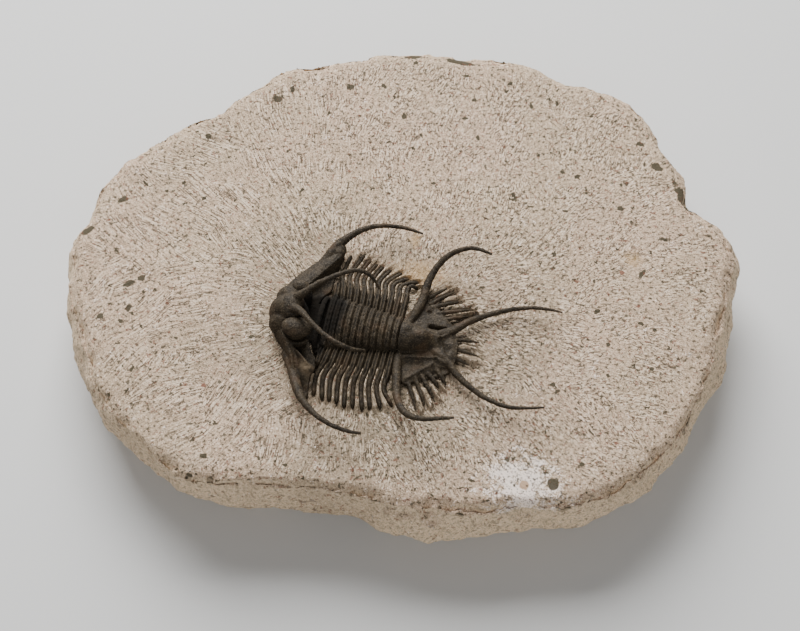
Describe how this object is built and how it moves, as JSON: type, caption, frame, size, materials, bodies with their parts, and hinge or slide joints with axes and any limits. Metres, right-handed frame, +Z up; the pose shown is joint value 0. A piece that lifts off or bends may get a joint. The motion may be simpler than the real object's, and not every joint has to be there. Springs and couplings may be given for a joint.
{
  "type": "trilobite fossil on matrix",
  "caption": "Dark long-spined trilobite fossil, eyes, horns and spines standing free, on its oval block of pale limestone",
  "frame": {"origin": "middle of the bounding box on the surface that the block lies on", "axes": "+X runs along the block's long side towards the fossil's tail, +Y across the block, +Z up, out of the worked face that carries the fossil"},
  "size_m": [0.1271, 0.1037, 0.0275],
  "materials": {
    "limestone": "pale pinkish-grey limestone, air-scribed in fine strokes round the fossil, matt",
    "dark_shell": "dark brown-black calcite shell, finely granular, satin"
  },
  "bodies": {
    "root": {"matrix_slab": "limestone", "cranidium": "dark_shell", "free_cheek_left": "dark_shell", "free_cheek_right": "dark_shell", "thorax_segment_01": "dark_shell", "thorax_segment_02": "dark_shell", "thorax_segment_03": "dark_shell", "thorax_segment_04": "dark_shell", "thorax_segment_05": "dark_shell", "thorax_segment_06": "dark_shell", "thorax_segment_07": "dark_shell", "thorax_segment_08": "dark_shell", "thorax_segment_09": "dark_shell", "thorax_segment_10": "dark_shell", "thorax_segment_11": "dark_shell", "pygidium": "dark_shell"}
  },
  "joints": []
}
